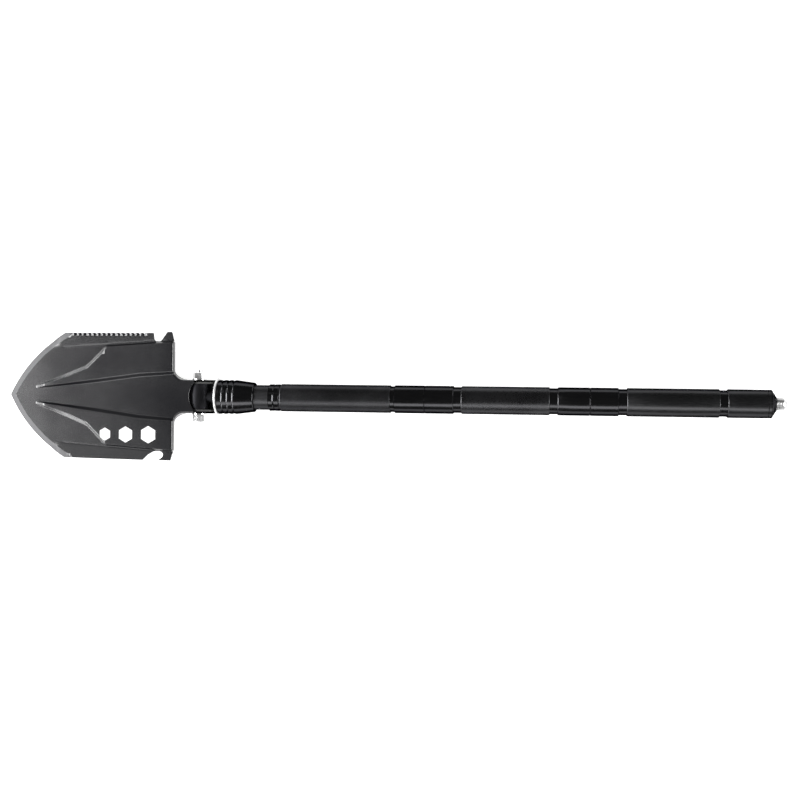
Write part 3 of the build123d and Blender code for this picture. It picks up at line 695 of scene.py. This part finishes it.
def outline():
    upper = point_edge()
    xs = np.arange(SERRATION_START, SERRATION_START + SERRATION_PITCH * SERRATION_COUNT + 0.01,
                   SERRATION_PITCH / 16)
    edge = [(float(x), float(min(SIDE_Y, serration_y(np.array(x)) + 2.1))) for x in xs]
    upper += along([upper[-1], (SERRATION_START - 0.4, SIDE_Y)], 2.0)[1:]
    upper += edge
    upper += along([edge[-1], (-48.9, 70.1), (-48.4, 69.6), (-48.3, 63.9), (-47.6, 62.1),
                    (-46.1, 61.0), (-41.5, 61.0), (-40.0, 61.9), (-34.0, 69.1),
                    (-32.3, TAB_Y), (-27.4, TAB_Y), (-26.7, 69.8), (-26.0, 64.4),
                    (REAR_X, 61.4), (REAR_X, 60.8)], 2.0)[1:]
    cy = EAR_OUT + FILLET_R
    neck = along([(REAR_X - FOLD_R, 60.5), (REAR_X - FOLD_R, cy)], 2.0)
    neck += arc_points(REAR_X + FILLET_R, cy, FILLET_R + FOLD_R, math.pi, 1.5 * math.pi, 14)[1:]
    neck += along([neck[-1], (WEB_END_X, WEB_HALF)], 2.0)[1:]
    centre_x = WEB_CUT_X + WEB_CUT_R
    reach = math.asin(WEB_HALF / WEB_CUT_R)
    arc = arc_points(centre_x, 0.0, WEB_CUT_R, math.pi - reach, math.pi + reach, 25)[1:-1]
    lower_neck = [(x, -y) for x, y in reversed(neck)]
    lower = along([(REAR_X, -60.8), (REAR_X, -61.4), (-26.2, -65.3), (-27.4, -TAB_Y + 0.4),
                   (-28.0, -TAB_Y), (-40.3, -71.0), (-40.9, -70.4), (-38.3, -68.9),
                   (-36.8, -67.4), (-36.2, -65.6), (-36.6, -63.9), (-37.9, -62.3),
                   (-40.9, -61.1), (-44.8, -61.1), (-48.3, -61.9), (-53.9, -65.3),
                   (-58.7, -70.4), (-59.4, -TAB_Y + 0.1), (CORNER_X, -SIDE_Y)], 2.0)
    mirror = [(x, -y) for x, y in reversed(point_edge())]
    return upper + neck + arc + lower_neck + lower + mirror[1:-1]


def hexagon(x, y, across):
    radius = across / math.sqrt(3)
    corners = [(x + radius * math.cos(a), y + radius * math.sin(a))
               for a in (math.pi / 6 + math.pi / 3 * k for k in range(7))]
    return along(corners, 2.0)[:-1]


def inside(points, loop):
    """Even-odd test of many points against one closed loop."""
    x, y = points[:, 0], points[:, 1]
    result = np.zeros(len(points), bool)
    for (ax, ay), (bx, by) in zip(loop, loop[1:] + loop[:1]):
        if ay == by:
            continue
        crosses = (ay > y) != (by > y)
        result ^= crosses & (x < (bx - ax) * (y - ay) / (by - ay) + ax)
    return result


def blade_sheet():
    """Triangulated plan with the creases as edges, before it is raised to the sheet's height."""
    border = outline()
    holes = [hexagon(*hole) for hole in HEX_HOLES]
    coords, edges = [], []

    def chain(points, closed=False):
        start = len(coords)
        coords.extend(points)
        last = len(points) if closed else len(points) - 1
        edges.extend((start + k, start + (k + 1) % len(points)) for k in range(last))

    chain(border, True)
    for hole in holes:
        chain(hole, True)
    xs = np.arange(-216.0, -2.0, 2.5)
    foot, top, edge, wall = panel_lines(xs)
    lines = [foot + (top - foot) * share for share in (0.0, 0.25, 0.5, 0.75, 1.0)]
    lines += [edge - wall * share for share in (1.0, 0.7, 0.4, 0.15, 0.0)]
    lines += [crease_y(xs) + shift for shift in (-1.2, -0.5, 0.1, 0.6, 1.3)]
    for side in (1, -1):
        for index, line in enumerate(lines):
            keep = xs > (PAD_START_X - 3 if index < 10 else CREASE_FRONT[0] - FLANGE_FADE)
            chain([(float(a), float(side * b)) for a, b in zip(xs[keep], line[keep])])
        cx, cy, radius = POINT_ARC
        for inset in (BEVEL_WIDTH + 0.12, BEVEL_WIDTH - 0.12):
            band = [(x, y) for x, y in
                    arc_points(cx, cy, radius - inset,
                               *[math.atan2(y - cy, x - cx) % (2 * math.pi)
                                 for x, y in (point_edge()[0], point_edge()[-1])], 60)
                    if bevel_end(np.array(x), np.array(y)) > -1.0 and y > 0.0]
            chain([(x, side * y) for x, y in band])
        for shift in (0.12, -0.12):
            chain([(BEVEL_END[0] + (y - BEVEL_END[1]) * BEVEL_END_LEAN + shift, side * y)
                   for y in np.linspace(BEVEL_LIMIT_Y + 1.0, 69.0, 14)])
    fine = np.arange(SERRATION_START, SERRATION_START + SERRATION_PITCH * SERRATION_COUNT,
                     SERRATION_PITCH / 16)
    chain([(float(x), float(serration_y(np.array(x)))) for x in fine[1:]])
    grid_x, grid_y = np.meshgrid(np.arange(-217.0, -2.0, 2.6), np.arange(-71.0, 71.5, 2.6))
    coords.extend(zip(grid_x.ravel().tolist(), grid_y.ravel().tolist()))
    points, _, triangles, _, _, _ = delaunay_2d_cdt(
        [Vector(p) for p in coords], edges, [], 0, 1e-5
    )
    plan = np.array([(p.x, p.y) for p in points])
    triangles = np.array(triangles)
    middle = plan[triangles].mean(axis=1)
    keep = inside(middle, border)
    for hole in holes:
        keep &= ~inside(middle, hole)
    a, b, c = (plan[triangles[:, k]] for k in range(3))
    area = (b[:, 0] - a[:, 0]) * (c[:, 1] - a[:, 1]) - (b[:, 1] - a[:, 1]) * (c[:, 0] - a[:, 0])
    keep &= np.abs(area) > 1e-6
    triangles = triangles[keep]
    flip = area[keep] < 0
    triangles[flip] = triangles[flip][:, ::-1]
    used, triangles = np.unique(triangles, return_inverse=True)
    return plan[used], triangles.reshape(-1, 3)


def slope_normals(plan):
    step = 0.12
    x, y = plan[:, 0], plan[:, 1]
    dx = (top_z(x + step, y) - top_z(x - step, y)) / (2 * step)
    dy = (top_z(x, y + step) - top_z(x, y - step)) / (2 * step)
    normals = np.stack([-dx, -dy, np.ones_like(dx)], axis=1)
    return normals / np.linalg.norm(normals, axis=1)[:, None]


points, faces, normals, indices = [], [], [], []


def add_face(corners, corner_normals, material=0):
    faces.append(tuple(corners))
    normals.extend(tuple(float(v) for v in n) for n in corner_normals)
    indices.append(material)


plan, triangles = blade_sheet()
count = len(plan)
upper = top_z(plan[:, 0], plan[:, 1])
under = bare_z(plan[:, 0], plan[:, 1]) - SHEET
points.extend(np.column_stack([plan, upper]).tolist())
points.extend(np.column_stack([plan, under]).tolist())
top_normals = slope_normals(plan)
middle = plan[triangles].mean(axis=1)
ground = bevel_depth(middle[:, 0], middle[:, 1]) < BEVEL_WIDTH
ground &= on_bevel(middle[:, 0], middle[:, 1])
border_edges = {}
for triangle, is_ground in zip(triangles.tolist(), ground.tolist()):
    a, b, c = triangle
    add_face((a, b, c), top_normals[[a, b, c]], int(is_ground))
    add_face((c + count, b + count, a + count), -top_normals[[c, b, a]])
    for start, end in ((a, b), (b, c), (c, a)):
        if (end, start) in border_edges:
            del border_edges[(end, start)]
        else:
            border_edges[(start, end)] = True
for start, end in border_edges:
    direction = plan[end] - plan[start]
    length = math.hypot(*direction)
    if length < 1e-9:
        continue
    out = (direction[1] / length, -direction[0] / length, 0.0)
    add_face((start, start + count, end + count, end), [out] * 4)


def fold(side):
    """Rear edge folded down, running round the fillet into the ear."""
    cy = EAR_OUT + FILLET_R
    path = [(REAR_X, y, 1.0, 0.0) for y in np.linspace(60.5, cy, 14)]
    for angle in np.linspace(math.pi, 1.5 * math.pi, 16)[1:]:
        path.append((REAR_X + FILLET_R + FILLET_R * math.cos(angle),
                     cy + FILLET_R * math.sin(angle), -math.cos(angle), -math.sin(angle)))
    for x in np.linspace(REAR_X + FILLET_R, WEB_END_X, 7)[1:]:
        path.append((x, EAR_OUT - 0.03, 0.0, 1.0))
    rings = []
    for x, y, nx, ny in path:
        px, py = x - nx * FOLD_R, y - ny * FOLD_R
        top = float(top_z(np.array(px), np.array(py)))
        base_normal = slope_normals(np.array([[px, py * side]]))[0]
        low = np.interp(x, [REAR_X, REAR_X + 7, REAR_X + 12],
                        [WEB_TOP - SKIRT, EAR_LOW + 6, EAR_LOW])
        ring = []
        for turn in np.linspace(0, math.pi / 2, 7):
            s, c = math.sin(turn), math.cos(turn)
            normal = np.array([nx * s, side * ny * s, 0.0]) + base_normal * c
            ring.append(((px + nx * FOLD_R * s, side * (py + ny * FOLD_R * s),
                          top - FOLD_R * (1 - c)), normal / np.linalg.norm(normal)))
        outward = np.array([nx, side * ny, 0.0])
        ring.append(((x, side * y, low + 0.3), outward))
        ring.append(((x - nx * 0.3, side * (y - ny * 0.3), low), np.array([0, 0, -1.0])))
        ix, iy = x - nx * SHEET, side * (y - ny * SHEET)
        ring.append(((ix, iy, low), -outward))
        ring.append(((ix, iy, top - FOLD_R), -outward))
        ring.append(((px, side * py, top - SHEET), -outward))
        rings.append(ring)
    base = len(points)
    size = len(rings[0])
    for ring in rings:
        points.extend(p for p, _ in ring)
    for r in range(len(rings) - 1):
        for k in range(size):
            j = (k + 1) % size
            corners = [(r, k), (r, j), (r + 1, j), (r + 1, k)]
            if side > 0:
                corners.reverse()
            add_face([base + a * size + b for a, b in corners],
                     [rings[a][b][1] for a, b in corners])
    for r, direction in ((0, (0, side, 0)), (len(rings) - 1, (1, 0, 0))):
        corners = list(range(size))
        if (r == 0) != (side > 0):
            corners.reverse()
        add_face([base + r * size + k for k in corners], [direction] * size)


def ear(side):
    """Flat ear rounded about the pivot, with lightly broken edges."""
    top = WEB_TOP - 0.6
    chamfer = 0.35
    start = math.asin(top / EAR_R)
    low = math.pi + math.asin(-EAR_LOW / EAR_R)
    under_web = WEB_TOP - FOLD_R - 0.4
    rim = [(-12.0, under_web), (WEB_END_X - 0.3, under_web), (WEB_END_X, top)]
    rim += [(EAR_R * math.cos(a), EAR_R * math.sin(a))
            for a in np.linspace(start, low - 2 * math.pi, 40)]
    size = len(rim)
    inner = EAR_OUT - SHEET
    layers = [(inner, chamfer), (inner + chamfer, 0.0),
              (EAR_OUT - chamfer, 0.0), (EAR_OUT, chamfer)]
    base = len(points)
    for y, inset in layers:
        for x, z in rim:
            length = math.hypot(x, z)
            points.append((x * (1 - inset / length), side * y, z * (1 - inset / length)))
    for layer in range(3):
        for k in range(size):
            j = (k + 1) % size
            corners = [layer * size + k, (layer + 1) * size + k,
                       (layer + 1) * size + j, layer * size + j]
            if side < 0:
                corners.reverse()
            tilt = (-0.8, 0.0, 0.8)[layer]
            mid = (np.array(rim[k]) + np.array(rim[j])) / 2
            edge_dir = np.array(rim[j]) - np.array(rim[k])
            out = np.array([edge_dir[1], -edge_dir[0]])
            if np.dot(out, mid) < 0:
                out = -out
            out = out / max(np.linalg.norm(out), 1e-9)
            normal = np.array([out[0], side * tilt, out[1]])
            add_face([base + c for c in corners], [normal / np.linalg.norm(normal)] * 4)
    for layer, direction in ((0, -side), (3, side)):
        corners = [base + layer * size + k for k in range(size)]
        if direction < 0:
            corners.reverse()
        add_face(corners, [(0.0, float(direction), 0.0)] * size)


def web_lip():
    """Rounded lip along the relief arc at the rear of the web."""
    centre_x = WEB_CUT_X + WEB_CUT_R
    reach = math.asin(WEB_HALF / WEB_CUT_R) - 0.01
    base = len(points)
    rings = []
    angles = np.linspace(math.pi - reach, math.pi + reach, 33)
    for angle in angles:
        inward = np.array([-math.cos(angle), -math.sin(angle), 0.0])
        x = centre_x + WEB_CUT_R * math.cos(angle)
        y = WEB_CUT_R * math.sin(angle)
        top = float(top_z(np.array(x), np.array(y)))
        ring = []
        for turn in np.linspace(0, math.pi / 2, 6):
            reach_out = LIP_R * math.sin(turn)
            normal = inward * math.sin(turn) + np.array([0, 0, math.cos(turn)])
            ring.append(((x + inward[0] * reach_out, y + inward[1] * reach_out,
                          top - LIP_R * (1 - math.cos(turn))), normal))
        edge_x, edge_y = x + inward[0] * LIP_R, y + inward[1] * LIP_R
        ring.append(((edge_x, edge_y, top - SHEET), inward))
        ring.append(((x, y, top - SHEET), np.array([0, 0, -1.0])))
        rings.append(ring)
        points.extend(p for p, _ in ring)
    size = len(rings[0])
    for a in range(len(rings) - 1):
        for k in range(size - 1):
            corners = [(a + 1, k), (a + 1, k + 1), (a, k + 1), (a, k)]
            add_face([base + i * size + j for i, j in corners],
                     [rings[i][j][1] for i, j in corners])


web_lip()
for flank in (1, -1):
    fold(flank)
    ear(flank)
piece("blade_pressing", points, faces, "shovel_blade", ["blade", "ground"], indices, normals)

# ------------------------------------------------------------------ floor
FLOOR = 6.0                 # half side of the floor, in metres
floor_mesh = bpy.data.meshes.new("floor")
floor_mesh.from_pydata(
    [(-FLOOR, -FLOOR, 0), (FLOOR, -FLOOR, 0), (FLOOR, FLOOR, 0), (-FLOOR, FLOOR, 0)], [],
    [(0, 1, 2, 3)],
)
floor = bpy.data.objects.new("floor", floor_mesh)
scene.collection.objects.link(floor)
material, tree, shader = tree_of("pale_floor")
shader.inputs["Base Color"].default_value = (0.55, 0.55, 0.55, 1)
shader.inputs["Roughness"].default_value = 0.9
shader.inputs["Specular IOR Level"].default_value = 0.0
shader.inputs["Emission Color"].default_value = (1, 1, 1, 1)
shader.inputs["Emission Strength"].default_value = 0.82
floor_mesh.materials.append(material)

# ------------------------------------------------------------------ camera
SENSOR_MM = 36.0
LENS_RATIO = 1290.0 / 800.0  # focal length over the sensor's width
DISTANCE = 1.4176
SWING = math.radians(6.7)
ROLL = math.radians(0.76)
TARGET = (226.0, -0.8, 0.0)
target = PIVOT + Vector(TARGET) * MM
back = Vector((math.sin(SWING), 0.0, math.cos(SWING)))
right = Vector((math.cos(SWING), 0.0, -math.sin(SWING)))
up = Vector((0.0, 1.0, 0.0))
turned_right = right * math.cos(ROLL) + up * math.sin(ROLL)
turned_up = up * math.cos(ROLL) - right * math.sin(ROLL)
camera_data = bpy.data.cameras.new("camera")
camera_data.lens = SENSOR_MM * LENS_RATIO
camera_data.clip_end = 50.0
camera = bpy.data.objects.new("camera", camera_data)
scene.collection.objects.link(camera)
place = Matrix((turned_right, turned_up, back)).transposed().to_4x4()
place.translation = target + back * DISTANCE
camera.matrix_world = place
scene.camera = camera

# ------------------------------------------------------------------ lights
def panel(name, at, aim, size, power):
    """Rectangular light: size is its height in the plane of its aim, then its width."""
    data = bpy.data.lights.new(name, "AREA")
    data.shape = "RECTANGLE"
    data.size, data.size_y = size
    data.energy = power
    lamp = bpy.data.objects.new(name, data)
    scene.collection.objects.link(lamp)
    start = PIVOT + Vector(at) * MM
    end = PIVOT + Vector(aim) * MM
    lamp.location = start
    lamp.rotation_euler = (end - start).to_track_quat("-Z", "X").to_euler()
    return lamp


panel("left_panel", (-1240, -60, 1000), (-160, 0, 0), (0.50, 1.4), 54.0)
panel("far_fill", (-560, 620, 800), (-130, -60, 0), (0.5, 0.6), 0.9)
panel("side_strip", (120, -800, 760), (150, 0, 0), (0.40, 2.0), 9.0)
panel("low_left", (-1400, -100, 240), (-100, 0, 0), (0.44, 3.2), 44.0)
panel("right_strip", (1500, -100, 620), (0, 0, 0), (0.4, 1.0), 28.0)
world = bpy.data.worlds.new("studio")
scene.world = world
world.use_nodes = True
world.node_tree.nodes["Background"].inputs["Color"].default_value = (1, 1, 1, 1)
world.node_tree.nodes["Background"].inputs["Strength"].default_value = 0.13
scene.view_settings.view_transform = "Standard"
scene.view_settings.look = "None"
